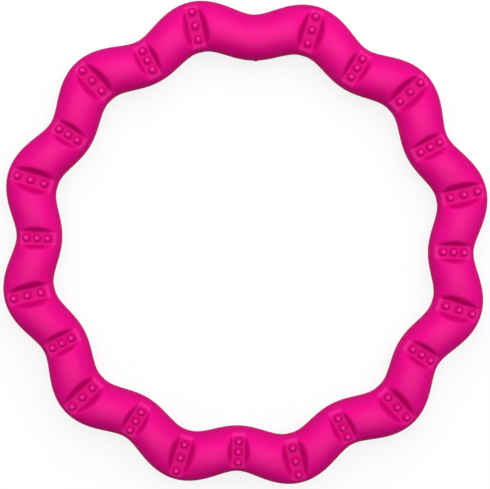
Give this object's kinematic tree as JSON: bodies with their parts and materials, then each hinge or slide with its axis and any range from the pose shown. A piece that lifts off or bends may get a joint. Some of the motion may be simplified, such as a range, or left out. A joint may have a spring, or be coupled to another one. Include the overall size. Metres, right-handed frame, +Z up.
{
  "type": "dog ring toy",
  "caption": "Wavy hollow rubber ring for a dog to fetch, tug and chew, with dotted grip pads notched across its bends, bonded from half shells.",
  "frame": {"origin": "centre of the ring, on the surface that it lies on", "axes": "+Z up along the ring's axis, +Y through the inward bend that has no dotted pad, +X to the right of it seen from above"},
  "size_m": [0.2432, 0.2432, 0.024],
  "materials": {
    "pink_rubber": "satin moulded hot-pink rubber with a fine even texture"
  },
  "bodies": {
    "root": {"lower_half_shell": "pink_rubber", "upper_half_shell": "pink_rubber"}
  },
  "joints": []
}
